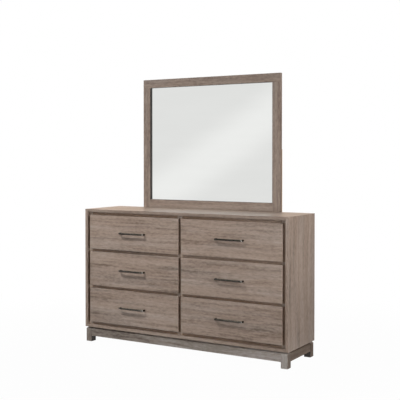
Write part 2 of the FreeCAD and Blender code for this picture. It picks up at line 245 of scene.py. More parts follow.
def knots(tree, colour, place, along, knot):
    """Small dark eyes in some cells, drawn out along the grain."""
    spread = add(tree, "Mapping", {"Vector": place, "Scale": repeats(along, *KNOT_CELL)})
    cells = add(tree, "TexVoronoi", {"Vector": spread.outputs["Vector"], "Scale": 1.0})
    chosen = add(tree, "SeparateColor", {"Color": cells.outputs["Color"]})
    rare = add(tree, "Math", {0: chosen.outputs["Red"], 1: KNOTTED}, operation="LESS_THAN")
    eye = add(tree, "MapRange", {"Value": cells.outputs["Distance"], "From Min": 0.06, "From Max": 0.02,
                                 "To Max": 0.75}, interpolation_type="SMOOTHSTEP")
    eye = add(tree, "Math", {0: eye.outputs[0], 1: rare.outputs[0]}, operation="MULTIPLY")
    return add(tree, "Mix", {0: eye.outputs[0], MIX_A: colour, MIX_B: linear(knot)},
               data_type="RGBA").outputs[MIX_RESULT]


def painted_opening_shade(tree, colour, own_place, opening):
    """Painted shade: near black on the edges inside a frame's opening."""
    middle, half = opening
    centred = add(tree, "VectorMath", {0: own_place, 1: middle}, operation="SUBTRACT")
    outward = add(tree, "VectorMath", {0: centred.outputs["Vector"]}, operation="ABSOLUTE")
    reach = add(tree, "SeparateXYZ", {"Vector": outward.outputs["Vector"]})
    across, upright = [add(tree, "Math", {0: reach.outputs[axis], 1: half[axis]}, operation="LESS_THAN")
                       for axis in "XZ"]
    inside = add(tree, "Math", {0: across.outputs[0], 1: upright.outputs[0]}, operation="MULTIPLY")
    return add(tree, "Mix", {0: inside.outputs[0], MIX_A: colour, MIX_B: linear(PAINTED_SHADE)},
               data_type="RGBA").outputs[MIX_RESULT]


def painted_crossing_light(tree, colour, own_place, along, crossing):
    """Painted light: a paler colour round a place along the grain."""
    lengthwise = add(tree, "SeparateXYZ", {"Vector": own_place})
    apart = add(tree, "Math", {0: lengthwise.outputs[along], 1: crossing}, operation="SUBTRACT")
    apart = add(tree, "Math", {0: apart.outputs[0]}, operation="ABSOLUTE")
    crossing_light = add(tree, "MapRange", {"Value": apart.outputs[0], "From Min": CROSSING_LIGHT_NONE, "From Max": CROSSING_LIGHT_FULL},
                interpolation_type="SMOOTHSTEP")
    return add(tree, "Mix", {0: crossing_light.outputs[0], MIX_A: colour, MIX_B: linear(PAINTED_CROSSING_LIGHT)},
               data_type="RGBA").outputs[MIX_RESULT]


def rubbed_arrises(tree, colour, place, along, pale):
    """Edges rubbed paler here and there, where the rounded normal leaves the face's own."""
    rounded = add(tree, "Bevel", {"Radius": ARRIS}, samples=4)
    face = add(tree, "NewGeometry", {})
    square = add(tree, "VectorMath", {0: rounded.outputs["Normal"], 1: face.outputs["True Normal"]},
                 operation="DOT_PRODUCT")
    arris = add(tree, "MapRange", {"Value": square.outputs["Value"], "From Min": 0.97, "From Max": 0.8,
                                   "To Max": 0.7})
    wear_and_highlight = add(tree, "MapRange", {"Value": grain(tree, place, along, RUBBED_PLACE, 2.0), "From Min": 0.4,
                                    "From Max": 0.6})
    wear_and_highlight = add(tree, "Math", {0: arris.outputs[0], 1: wear_and_highlight.outputs[0]}, operation="MULTIPLY")
    return add(tree, "Mix", {0: wear_and_highlight.outputs[0], MIX_A: colour, MIX_B: linear(pale)},
               data_type="RGBA").outputs[MIX_RESULT]


def timber(name, along, tones, knot, grey, contrast, roughness, embossing, stretch=(0.0, 0.0, 0.0),
           opening=None, fade=0.0, flank=None, crossings=(), turned=False):
    """Wood, or a print of wood, with its grain along one axis.

    tones run from the dark streaks to the light ones, knot is the colour of the knots and grey is a
    cooler cast that comes and goes. stretch says where in the endless grain the board is cut. opening
    gives the middle and half sizes, in X and Z, of a frame opening whose inner edges get near-black
    painted shade. fade is how much paler the wood grows per metre towards +X. flank gives darker
    tones, as painted shade, for the faces to either side of a base piece, whose inner faces then get
    near-black painted shade. crossings are places along the grain where painted light, a paler colour,
    goes on a piece of the frame. turned is for a box, whose side boards have their grain along Y.
    """
    material, tree = new_material(name)
    own_place = add(tree, "TexCoord", {}).outputs["Object"]
    place = add(tree, "Mapping", {"Vector": own_place, "Location": stretch}).outputs["Vector"]
    if turned:
        place = turned_boards(tree, place)
    place = wandering(tree, place, along)
    fibre = grain(tree, place, along, FIBRE, 2.0)
    tone = grain_tone(tree, place, along, fibre, contrast)
    faded = tone
    if fade:
        sideways = add(tree, "SeparateXYZ", {"Vector": own_place})
        faded = add(tree, "Math", {0: sideways.outputs["X"], 1: fade, 2: tone},
                    operation="MULTIPLY_ADD").outputs[0]
    colour = add(tree, "ValToRGB", {"Fac": faded}, stops=evenly(tones)).outputs["Color"]
    # Painted shade on the flanks and inner faces of a base piece
    if flank:
        colour = shaded_flanks(tree, colour, own_place, tone, flank)

    cast = add(tree, "MapRange", {"Value": grain(tree, place, along, GREY_CAST, 2.0), "From Min": 0.42,
                                  "From Max": 0.68, "To Max": 0.3}, interpolation_type="SMOOTHSTEP")
    colour = add(tree, "Mix", {0: cast.outputs[0], MIX_A: colour, MIX_B: linear(grey)},
                 data_type="RGBA", blend_type="COLOR").outputs[MIX_RESULT]
    pits = add(tree, "MapRange", {"Value": grain(tree, place, along, PIT, 1.0), "From Min": 0.60,
                                  "From Max": 0.72, "To Max": 0.5}).outputs[0]
    colour = add(tree, "Mix", {0: pits, MIX_A: colour, MIX_B: linear(tones[0])},
                 data_type="RGBA").outputs[MIX_RESULT]
    colour = knots(tree, colour, place, along, knot)
    # Painted shade on the edges inside the mirror's opening
    if opening:
        colour = painted_opening_shade(tree, colour, own_place, opening)
    # Painted light where the gaps between the drawer fronts cross
    for crossing in crossings:
        colour = painted_crossing_light(tree, colour, own_place, along, crossing)
    colour = rubbed_arrises(tree, colour, place, along, tones[-1])

    gloss = add(tree, "MapRange", {"Value": fibre, "From Min": 0.3, "From Max": 0.7,
                                   "To Min": roughness - 0.06, "To Max": roughness + 0.08})
    height = add(tree, "Math", {0: pits, 1: -1.0, 2: fibre}, operation="MULTIPLY_ADD")
    relief = add(tree, "Bump", {"Height": height.outputs[0], "Strength": embossing,
                                "Distance": GRAIN_RELIEF})
    surface(tree, {"Base Color": colour, "Roughness": gloss.outputs[0], "Normal": relief.outputs["Normal"],
                   "IOR": WOOD_IOR})
    return material


def oak_laminate(name, along, tones=OAK, opening=None, roughness=0.42, fade=0.0, crossings=()):
    """Printed oak paper under a satin melamine film: grey-brown streaks, soft sheen at a low angle."""
    return timber("oak_laminate_" + name, along, tones=tones, knot="#4a3d33", grey="#877f79",
                  contrast=1.0, roughness=roughness, embossing=0.12, stretch=STRETCHES[name],
                  opening=opening, fade=fade, crossings=crossings)


def weathered_oak(name, along, tones, fade=0.0):
    """Solid oak, wire-brushed and stained grey: raised grain, silver-grey ridges and brown hollows."""
    # The flank tones and the near black on inner faces are painted shade
    return timber("weathered_oak_" + name, along, tones=tones, knot="#433b35", grey="#7c7872",
                  contrast=1.0, roughness=0.6, embossing=0.3, stretch=STRETCHES[name], fade=fade,
                  flank=FLANK_SHADE_OAK)


def rubberwood(name, along):
    """Unfinished sawn rubberwood: straw coloured, dull, with short dark vessel lines."""
    return timber("rubberwood_sawn_" + name, along,
                  tones=["#8f6f4b", "#ad8c65", "#bb9b74", "#c5a680", "#cfb28d"], knot="#7d5f42",
                  grey="#b39d7f", contrast=0.7, roughness=0.7, embossing=0.25)


def drawer_poplar(name, along):
    """Planed poplar drawer boards under thin lacquer: pale, creamy, faint straight grain."""
    return timber("poplar_planed_" + name, along,
                  tones=["#b3976f", "#c6ae87", "#d0b994", "#d7c29f", "#decbab"], knot="#9a7d58",
                  grey="#c6b795", contrast=0.6, roughness=0.5, embossing=0.1, turned=True)


def hardboard():
    """Pressed wood fibre: mid brown and matt, with fine felted fibres and dark flecks."""
    material, tree = new_material("hardboard_pressed")
    place = add(tree, "TexCoord", {}).outputs["Object"]
    # Real fibres are about 0.3 mm wide. They are drawn 4 mm wide so that they show.
    felt = add(tree, "TexNoise", {"Vector": place, "Scale": 1 / (4 * MM), "Detail": 4.0, "Distortion": 1.5})
    cloud = add(tree, "TexNoise", {"Vector": place, "Scale": 1 / (260 * MM), "Detail": 4.0, "Roughness": 0.6})
    fleck = add(tree, "TexVoronoi", {"Vector": place, "Scale": 1 / (14 * MM), "Randomness": 1.0})
    mixed = add(tree, "Math", {0: cloud.outputs["Fac"], 1: 0.6, 2: felt.outputs["Fac"]},
                operation="MULTIPLY_ADD")
    colour = add(tree, "ValToRGB", {"Fac": mixed.outputs[0]},
                 stops=[(0.35, "#664d38"), (1.0, "#937758"), (0.75, "#7f6349")])
    spot = add(tree, "MapRange", {"Value": fleck.outputs["Distance"], "From Min": 0.22, "From Max": 0.1,
                                  "To Max": 0.55})
    colour = add(tree, "Mix", {0: spot.outputs[0], MIX_A: colour.outputs["Color"], MIX_B: linear("#4b3726")},
                 data_type="RGBA")
    relief = add(tree, "Bump", {"Height": felt.outputs["Fac"], "Strength": 0.15, "Distance": 0.3 * MM})
    surface(tree, {"Base Color": colour.outputs[MIX_RESULT], "Roughness": 0.8,
                   "Normal": relief.outputs["Normal"]})
    return material


def gunmetal():
    """Cast zinc with a dark bronze plating, brushed along the bar: painted sheen towards the right, a painted
    highlight on the right bend, painted shade on the ends.
    """
    material, tree = new_material("zinc_gunmetal_plated")
    place = add(tree, "TexCoord", {}).outputs["Object"]
    # Real brush lines are about 0.1 mm apart. They are drawn 0.8 mm apart so that they show.
    spread = add(tree, "Mapping", {"Vector": place, "Scale": repeats("X", 60, 0.8)})
    lines = add(tree, "TexNoise", {"Vector": spread.outputs["Vector"], "Scale": 1.0, "Detail": 2.0})
    patina = add(tree, "TexNoise", {"Vector": place, "Scale": 1 / (25 * MM), "Detail": 3.0})
    mixed = add(tree, "Math", {0: lines.outputs["Fac"], 1: 0.5, 2: patina.outputs["Fac"]},
                operation="MULTIPLY_ADD")
    # Both columns of pulls share one pattern along X, measured from the middle of a pull
    low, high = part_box("drawer_pull_lower_right")
    column = (low[0] + high[0]) / 2
    apart = add(tree, "SeparateXYZ", {"Vector": place})
    across = add(tree, "Math", {0: apart.outputs["X"], 1: column}, operation="ADD")
    across = add(tree, "Math", {0: across.outputs[0], 1: column, 2: -column}, operation="WRAP")
    # Painted sheen: paler towards each pull's right end
    mixed = add(tree, "Math", {0: across.outputs[0], 1: PULL_SHEEN, 2: mixed.outputs[0]},
                operation="MULTIPLY_ADD")
    colour = add(tree, "ValToRGB", {"Fac": mixed.outputs[0]},
                 stops=[(0.5, "#322f2b"), (1.0, "#504c46"), (0.75, "#3f3c37")])
    # Painted highlight on the right bend
    bend = add(tree, "CombineXYZ", {"X": across.outputs[0], "Y": apart.outputs["Y"]})
    corner = ((high[0] - low[0]) / 2 - BEND_INSET, low[1] + BEND_INSET, 0.0)
    away = add(tree, "VectorMath", {0: bend.outputs[0], 1: corner}, operation="DISTANCE")
    wear_and_highlight = add(tree, "MapRange", {"Value": away.outputs["Value"], "From Min": BEND_NONE,
                                    "From Max": BEND_FULL, "To Max": BEND_HIGHLIGHT},
                 interpolation_type="SMOOTHSTEP")
    colour = add(tree, "Mix", {0: wear_and_highlight.outputs[0], MIX_A: colour.outputs["Color"],
                               MIX_B: linear("#cfcbc5")}, data_type="RGBA")
    # Painted shade: the faces along X at the ends go near black
    colour = add(tree, "Mix", {0: side_faces(tree, 0.85), MIX_A: colour.outputs[MIX_RESULT],
                               MIX_B: linear("#14110f")}, data_type="RGBA")
    gloss = add(tree, "MapRange", {"Value": lines.outputs["Fac"], "To Min": 0.18, "To Max": 0.32})
    relief = add(tree, "Bump", {"Height": lines.outputs["Fac"], "Strength": 0.08, "Distance": 0.1 * MM})
    surface(tree, {"Base Color": colour.outputs[MIX_RESULT], "Metallic": 1.0, "Roughness": gloss.outputs[0],
                   "Normal": relief.outputs["Normal"]})
    return material


def zinc_steel():
    """Zinc-plated pressed steel: pale bluish grey with a faint frosted spangle."""
    material, tree = new_material("steel_zinc_plated")
    place = add(tree, "TexCoord", {}).outputs["Object"]
    spangle = add(tree, "TexVoronoi", {"Vector": place, "Scale": 1 / (5 * MM)})
    haze = add(tree, "TexNoise", {"Vector": place, "Scale": 1 / (20 * MM), "Detail": 3.0})
    mixed = add(tree, "Math", {0: spangle.outputs["Distance"], 1: 0.5, 2: haze.outputs["Fac"]},
                operation="MULTIPLY_ADD")
    colour = add(tree, "ValToRGB", {"Fac": mixed.outputs[0]}, stops=[(0.4, "#9fa3a6"), (1.0, "#c6c9ca")])
    gloss = add(tree, "MapRange", {"Value": haze.outputs["Fac"], "To Min": 0.28, "To Max": 0.5})
    surface(tree, {"Base Color": colour.outputs["Color"], "Metallic": 1.0, "Roughness": gloss.outputs[0]})
    return material


def nylon():
    """Moulded nylon: milky white, waxy, with the fine orange peel of the mould."""
    material, tree = new_material("nylon_moulded")
    place = add(tree, "TexCoord", {}).outputs["Object"]
    peel = add(tree, "TexNoise", {"Vector": place, "Scale": 1 / (1.2 * MM), "Detail": 2.0})
    cloud = add(tree, "TexNoise", {"Vector": place, "Scale": 1 / (15 * MM), "Detail": 2.0})
    colour = add(tree, "ValToRGB", {"Fac": cloud.outputs["Fac"]}, stops=[(0.3, "#d8d4c8"), (0.7, "#e6e3d9")])
    relief = add(tree, "Bump", {"Height": peel.outputs["Fac"], "Strength": 0.1, "Distance": 0.1 * MM})
    surface(tree, {"Base Color": colour.outputs["Color"], "Roughness": 0.42,
                   "Normal": relief.outputs["Normal"], "Subsurface Weight": 0.15,
                   "Subsurface Scale": 2 * MM})
    return material


def silvered_glass():
    """Float glass silvered behind: a clear reflection, a trace of green, faint wiping haze."""
    material, tree = new_material("float_glass_silvered")
    place = add(tree, "TexCoord", {}).outputs["Object"]
    spread = add(tree, "Mapping", {"Vector": place, "Rotation": [0.0, math.radians(35), 0.0],
                                   "Scale": repeats("X", 600, 90)})
    wiped = add(tree, "TexNoise", {"Vector": spread.outputs["Vector"], "Scale": 1.0, "Detail": 2.0})
    colour = add(tree, "ValToRGB", {"Fac": wiped.outputs["Fac"]}, stops=[(0.3, "#f3f4f2"), (0.7, "#f5f6f4")])
    haze = add(tree, "MapRange", {"Value": wiped.outputs["Fac"], "From Min": 0.35, "From Max": 0.75,
                                  "To Min": 0.006, "To Max": 0.016})
    surface(tree, {"Base Color": colour.outputs["Color"], "Metallic": 1.0, "Roughness": haze.outputs[0]})
    return material


def finish(material, *names):
    """Give CAD nodes their material."""
    for name in names:
        slots = nodes[name].data.materials
        slots.clear()
        slots.append(material)


def per_drawer(kind, *places):
    return [kind + "_" + drawer for drawer in places or DRAWERS]


def both(before, after):
    return [before + side + after for side in SIDES]


def mirror_opening():
    """Middle and half sizes of the mirror frame's opening, with the rounding of its edges."""
    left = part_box("mirror_left_stile")[1][0]
    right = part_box("mirror_right_stile")[0][0]
    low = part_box("mirror_bottom_rail")[1][2]
    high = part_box("mirror_top_rail")[0][2]
    middle = ((left + right) / 2, 0.0, (low + high) / 2)
    return middle, {"X": (right - left) / 2 + SIGHT_ROUNDING, "Z": (high - low) / 2 + SIGHT_ROUNDING}


def rail_levels():
    """Middles of the gaps under, between and over the rows of drawers."""
    fronts = [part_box("drawer_front_" + row + "_left") for row in ROWS]
    edges = [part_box("bottom_panel")] + fronts + [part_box("top_panel")]
    return [(below[1][2] + above[0][2]) / 2 for below, above in zip(edges, edges[1:])]


sight = mirror_opening()
steel = zinc_steel()

# The top takes a darker copy of the oak, painted shade
finish(oak_laminate("top", "X", tones=SHADED_OAK, roughness=0.34), "top_panel")
finish(oak_laminate("bottom", "X"), "bottom_panel")
finish(oak_laminate("sides", "Z"), *both("", "_side_panel"))
for side in SIDES:
    fronts_oak = oak_laminate(side + "_fronts", "X")
    finish(fronts_oak, *per_drawer("drawer_front", *[row + "_" + side for row in ROWS]))
# The frame behind the fronts: darker copies of the oak as painted shade, painted light where the gaps cross
finish(oak_laminate("rails", "X", tones=SHADED_RAIL_OAK, crossings=[RAIL_CROSSING]), "front_rails")
finish(oak_laminate("stiles", "Z", tones=SHADED_FRAME_OAK, fade=0.25, crossings=rail_levels()),
       "centre_partition", *both("", "_stile"))
# The mirror frame: a darker copy of the oak as painted shade, and painted shade inside its opening
finish(oak_laminate("mirror_rails", "X", tones=SHADED_OAK, opening=sight),
       "mirror_top_rail", "mirror_bottom_rail")
finish(oak_laminate("mirror_stiles", "Z", tones=SHADED_OAK, opening=sight), *both("mirror_", "_stile"))
finish(weathered_oak("front", "X", GREY_OAK, fade=0.42), "front_apron", "rear_apron")
# The side aprons take the darker flank tones, painted shade
finish(weathered_oak("shaded_flanks", "Y", FLANK_SHADE_OAK), *both("", "_apron"))
finish(weathered_oak("legs", "Z", GREY_OAK, fade=0.5), *both("front_", "_leg"), *both("rear_", "_leg"))
finish(rubberwood("level_grain", "X"), "rear_rails", "corner_blocks")
finish(rubberwood("upright_grain", "Z"), "mirror_supports")
finish(drawer_poplar("level_grain", "X"), *per_drawer("drawer_box"), *per_drawer("drawer_bottom"))
finish(hardboard(), "back_board", "mirror_backing")
finish(gunmetal(), *per_drawer("drawer_pull"))
finish(steel, "drawer_tracks")
finish(nylon(), "rail_glides", *per_drawer("guide_shoe"))
finish(silvered_glass(), "mirror_glass")


# Fasteners

# Radius and height of a screw's head, radius and length of its shank
PULL_BOLT = (5 * MM, 2.6 * MM, 2 * MM, 12 * MM)
FRONT_SCREW = (4 * MM, 2 * MM, 1.7 * MM, 12 * MM)
BLOCK_SCREW = (4 * MM, 2 * MM, 1.7 * MM, 20 * MM)

# Radii of the screws in the battens, whose other sizes are those of the plain screws in the CAD
BATTEN_SCREW_HEAD = 4.5 * MM
BATTEN_SCREW_SHANK = 2.25 * MM

# Half width and half length of the cross in a head, as shares of the head's radius, and the grid
# lines across the head that these make
CROSS_ARM = 0.15
CROSS_REACH = 0.58
HEAD_LINES = [-1.0, -CROSS_REACH, -CROSS_ARM, CROSS_ARM, CROSS_REACH, 1.0]
CROSS_DEPTH = 0.6                 # share of the head's height
CROSS_TAPER = 0.75                # its floor against its mouth
HEAD_ROUNDING = 0.45              # share of the head's height

NAIL = (2.2 * MM, 0.6 * MM)       # radius and height of the head
NAIL_SIDES = 12
NAIL_ROUNDING = 0.4               # share of the head's height
NAIL_INSET = 4.5 * MM             # from the edge of the back board
NAILS_ACROSS = 122 * MM           # apart, along the top and the bottom
NAILS_UP = 125 * MM               # apart, up the sides and the partition

POINT = (12 * MM, 6 * MM, 0.6 * MM)    # length, width and thickness
POINT_RISE = 0.25                 # its free end turned up, as a share of its length
POINT_TIP = 0.6                   # width of its free end against the rest
POINT_INSET = 60 * MM             # from the corners of the backing board
POINT_SPACING = 220 * MM

SUB_FRONT = 14 * MM
PULL_BAR = 8 * MM
FRONT_SCREWS_ACROSS = (-250 * MM, 250 * MM)    # from a drawer's middle, and from the level of its pull
FRONT_SCREWS_UP = (-50 * MM, 50 * MM)
BATTEN = 45 * MM
REAR_RAIL = 31 * MM
FOOT_SCREW = 60 * MM              # top of the case to the lower screw in the mirror
BLOCK_FACE = 31.25 * MM           # corner of a block to the middle of its slant, along each apron
BLOCK_SCREWS = 40 * MM            # apart


def corners_of(parts):
    return [part for part in parts if isinstance(part, bmesh.types.BMVert)]


def cross_head(radius, height, shank_radius, shank_length):
    """A screw with a rounded cross-recess head, seated at the origin with its head up."""
    shape = bmesh.new()
    cells = len(HEAD_LINES) - 1
    bmesh.ops.create_grid(shape, x_segments=cells, y_segments=cells, size=1.0)
    for corner in shape.verts:
        column, row = [round((corner.co[axis] + 1.0) / 2 * cells) for axis in (0, 1)]
        across = Vector((HEAD_LINES[column], HEAD_LINES[row], 0.0))
        if max(abs(across.x), abs(across.y)) == 1.0:
            across.normalize()
        corner.co = across * radius + Vector((0.0, 0.0, height))
    rim = [edge for edge in shape.edges if edge.is_boundary]
    middles = [(face, face.calc_center_median().xy) for face in shape.faces]
    cross = [face for face, middle in middles if min(abs(middle.x), abs(middle.y)) < CROSS_ARM * radius
             and middle.length < CROSS_REACH * radius]
    floor = corners_of(bmesh.ops.extrude_face_region(shape, geom=cross)["geom"])
    bmesh.ops.translate(shape, verts=floor, vec=(0.0, 0.0, -CROSS_DEPTH * height))
    bmesh.ops.scale(shape, verts=floor, vec=(CROSS_TAPER, CROSS_TAPER, 1.0))
    bmesh.ops.delete(shape, geom=[face for face in cross if face.is_valid], context="FACES_ONLY")
    side = bmesh.ops.extrude_edge_only(shape, edges=rim)["geom"]
    bmesh.ops.translate(shape, verts=corners_of(side), vec=(0.0, 0.0, -height))
    seat = [part for part in side if isinstance(part, bmesh.types.BMEdge)]
    under = bmesh.ops.holes_fill(shape, edges=seat)["faces"]
    bmesh.ops.inset_region(shape, faces=under, thickness=radius - shank_radius)
    tip = corners_of(bmesh.ops.extrude_face_region(shape, geom=under)["geom"])
    bmesh.ops.translate(shape, verts=tip, vec=(0.0, 0.0, -shank_length))
    bmesh.ops.delete(shape, geom=[face for face in under if face.is_valid], context="FACES_ONLY")
    bmesh.ops.bevel(shape, geom=rim, offset=HEAD_ROUNDING * height, affect="EDGES", segments=3,
                    profile=0.5, material=-1)
    bmesh.ops.recalc_face_normals(shape, faces=shape.faces)
    return shape


def nail_head(radius, height):
    """A flat nail head with a softened rim, seated at the origin."""
    shape = bmesh.new()
    bmesh.ops.create_circle(shape, cap_ends=True, segments=NAIL_SIDES, radius=radius)
    top = corners_of(bmesh.ops.extrude_face_region(shape, geom=shape.faces[:])["geom"])
    bmesh.ops.translate(shape, verts=top, vec=(0.0, 0.0, height))
    rim = [edge for edge in shape.edges if all(corner.co.z > height / 2 for corner in edge.verts)]
    bmesh.ops.bevel(shape, geom=rim, offset=NAIL_ROUNDING * height, affect="EDGES", segments=2,
                    profile=0.5, material=-1)
    bmesh.ops.recalc_face_normals(shape, faces=shape.faces)
    return shape


def driven_point(length, width, thickness):
    """A sheet-steel tongue that holds a backing board.

    It lies along +X from the origin, with its free end turned up.
    """
    shape = bmesh.new()
    bmesh.ops.create_grid(shape, x_segments=4, y_segments=1, size=0.5)
    bmesh.ops.scale(shape, verts=shape.verts, vec=(length, width, 1.0))
    bmesh.ops.translate(shape, verts=shape.verts, vec=(length / 2, 0.0, 0.0))
    free_end = [corner for corner in shape.verts if corner.co.x > 0.9 * length]
    bmesh.ops.translate(shape, verts=free_end, vec=(0.0, 0.0, POINT_RISE * length))
    bmesh.ops.scale(shape, verts=free_end, vec=(1.0, POINT_TIP, 1.0))
    top = corners_of(bmesh.ops.extrude_face_region(shape, geom=shape.faces[:])["geom"])
    bmesh.ops.translate(shape, verts=top, vec=(0.0, 0.0, thickness))
    bmesh.ops.recalc_face_normals(shape, faces=shape.faces)
    return shape


def settle(shape):
    """Sort the faces by their corners, because a bevel leaves them in another order each run."""
    shape.verts.index_update()
    count = len(shape.verts)

    def rank(face):
        first, second, third = sorted(corner.index for corner in face.verts)[:3]
        return (first * count + second) * count + third

    shape.faces.sort(key=rank)


def set_out(name, body, pattern, places):
    """One piece with a copy of a fastener at each place, given as matrices, riding on a body."""
    settle(pattern)
    single = bpy.data.meshes.new(name + "_single")
    pattern.to_mesh(single)
    pattern.free()
    shape = bmesh.new()
    for place in places:
        shape.from_mesh(single)
        bmesh.ops.transform(shape, matrix=place, verts=shape.verts[-len(single.vertices):])
        shape.verts.index_update()
    mesh = bpy.data.meshes.new(name)
    shape.to_mesh(mesh)
    shape.free()
    bpy.data.meshes.remove(single)
    mesh.materials.append(steel)
    piece = bpy.data.objects.new(name, mesh)
    bpy.context.scene.collection.objects.link(piece)
    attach(piece, body)
    return piece


def facing_back(x, y, z):
    return Matrix.Translation((x, y, z)) @ Matrix.Rotation(math.radians(-90), 4, "X")


def spaced(first, last, about):
    """Places from first to last, about so far apart."""
    steps = max(1, round((last - first) / about))
    return [first + (last - first) * step / steps for step in range(steps + 1)]


def drawer_screws(drawer):
    """On the inner face of a drawer's sub-front: two bolts into the pull, four screws into the front."""
    pull_low, pull_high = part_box("drawer_pull_" + drawer)
    inner_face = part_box("drawer_box_" + drawer)[0][1] + SUB_FRONT
    middle = (pull_low[0] + pull_high[0]) / 2
    level = (pull_low[2] + pull_high[2]) / 2
    post = (pull_high[0] - pull_low[0]) / 2 - PULL_BAR / 2
    bolts = [facing_back(middle + way * post, inner_face, level) for way in (-1, 1)]
    screws = [facing_back(middle + across, inner_face, level + up)
              for across in FRONT_SCREWS_ACROSS for up in FRONT_SCREWS_UP]
    body = "drawer_" + drawer
    set_out("pull_bolts_" + drawer, body, cross_head(*PULL_BOLT), bolts)
    set_out("front_screws_" + drawer, body, cross_head(*FRONT_SCREW), screws)


def support_screws():
    """Cross-head screws through the battens, in place of the plain ones."""
    left, right = [corner[0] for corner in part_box("mirror_supports")]
    low, high = [corner[2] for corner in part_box("support_screws")]
    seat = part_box("mirror_supports")[1][1]
    # Lowest and highest screw, and between them those in the top rear rail and in the frame's foot
    levels = [low + BATTEN_SCREW_HEAD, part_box("rear_rails")[1][2] - REAR_RAIL / 2,
              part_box("mirror_bottom_rail")[0][2] + FOOT_SCREW, high - BATTEN_SCREW_HEAD]
    places = [facing_back(x, seat, z) for x in (left + BATTEN / 2, right - BATTEN / 2) for z in levels]
    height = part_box("support_screws")[1][1] - seat
    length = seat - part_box("support_screws")[0][1]
    screw = cross_head(BATTEN_SCREW_HEAD, height, BATTEN_SCREW_SHANK, length)
    piece = set_out("cross_head_screws", "case", screw, places)
    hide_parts("support_screws")


def back_nails():
    """Nails round the edge of the back board and down the partition."""
    low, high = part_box("back_board")
    left, right = low[0] + NAIL_INSET, high[0] - NAIL_INSET
    bottom, top = low[2] + NAIL_INSET, high[2] - NAIL_INSET
    rows = [(x, z) for x in spaced(left, right, NAILS_ACROSS) for z in (bottom, top)]
    columns = [(x, z) for x in (left, 0.0, right) for z in spaced(bottom, top, NAILS_UP)[1:-1]]
    set_out("back_nails", "case", nail_head(*NAIL),
            [facing_back(x, high[1], z) for x, z in rows + columns])


def backing_points():
    """Steel points round the mirror's backing board, driven into the wall of its pocket."""
    low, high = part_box("mirror_backing")
    places = []
    for x in spaced(low[0] + POINT_INSET, high[0] - POINT_INSET, POINT_SPACING):
        places += [(x, low[2], 90), (x, high[2], -90)]
    for z in spaced(low[2] + POINT_INSET, high[2] - POINT_INSET, POINT_SPACING):
        places += [(low[0], z, 0), (high[0], z, 180)]
    lying = [facing_back(x, high[1], z) @ Matrix.Rotation(math.radians(-turn), 4, "Z")
             for x, z, turn in places]
    set_out("backing_points", "case", driven_point(*POINT), lying)


def block_screws():
    """Two screws in the slanting face of each corner block."""
    low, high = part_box("corner_blocks")
    places = []
    for x, across in ((low[0], 1), (high[0], -1)):
        for y, along in ((low[1], 1), (high[1], -1)):
            facing = Vector((across, along, 0.0)).normalized()
            middle = Vector((x + across * BLOCK_FACE, y + along * BLOCK_FACE, (low[2] + high[2]) / 2))
            turn = Vector((0.0, 0.0, 1.0)).rotation_difference(facing).to_matrix().to_4x4()
            aside = Vector((-facing.y, facing.x, 0.0)) * BLOCK_SCREWS / 2
            places += [Matrix.Translation(middle + way * aside) @ turn for way in (-1, 1)]
    set_out("block_screws", "case", cross_head(*BLOCK_SCREW), places)


for drawer in DRAWERS:
    drawer_screws(drawer)
support_screws()
back_nails()
backing_points()
block_screws()


# Floor and studio, in metres

WHITE = "#ffffff"
FLOOR_SIZE = 24.0
FLOOR_GREY = "#7a7a7a"         # as light falls on it, so that little is thrown up under the base
FLOOR_GLOW = 0.98              # share of white near the object, where the rest carries its shadow
NEAR = 1.0                     # from the middle of the floor, where the glow starts to grow to all white
FAR = 2.6
AMBIENT = 0.08
ROOM = 0.82                    # pale room that polished surfaces show
BAND_NORMAL = (-0.504, 0.290, 0.814)    # across a lighter slanting band in that room
BAND_LIGHT = 0.1
BAND_FULL = 0.005              # half width of the band, as the sine of an angle
BAND_NONE = 0.04
DARK_CORNER = (0.51, 0.86, 0.0)         # towards the room's unlit corner, behind on the right
CORNER_FLOOR = (0.4, 1.2)      # way to that corner over which the floor's glow fades in reflections
CORNER_FLOOR_GLOW = 0.2
CORNER_WALL = (0.7, 0.93)      # cosines to that corner over which the room darkens
CORNER_WALL_LIGHT = 0.15
BACK_WALL = (0.1, 0.5)         # share of +Y in a direction over which it turns to the room behind
BACK_WARM = "#ffe6d2"          # colour of the room behind the dresser
BACK_LIFT = 0.16               # and how much brighter it is

SENSOR = 36.0                  # millimetres, as the lens
LENS = 74.766
LENS_SHIFT = -0.075
EYE = (2.78614, -4.60301, 1.24888)
EYE_TILT = 89.0332             # degrees up from straight down
EYE_TURN = 30.8541             # degrees to the left of straight ahead


def seen(tree):
    """1 where the camera, a reflection or glass looks, 0 where light is gathered."""
    ray = add(tree, "LightPath", {})
    total = ray.outputs["Is Camera Ray"]
    for kind in ("Is Glossy Ray", "Is Transmission Ray"):
        total = add(tree, "Math", {0: total, 1: ray.outputs[kind]}, operation="MAXIMUM").outputs[0]
    return total


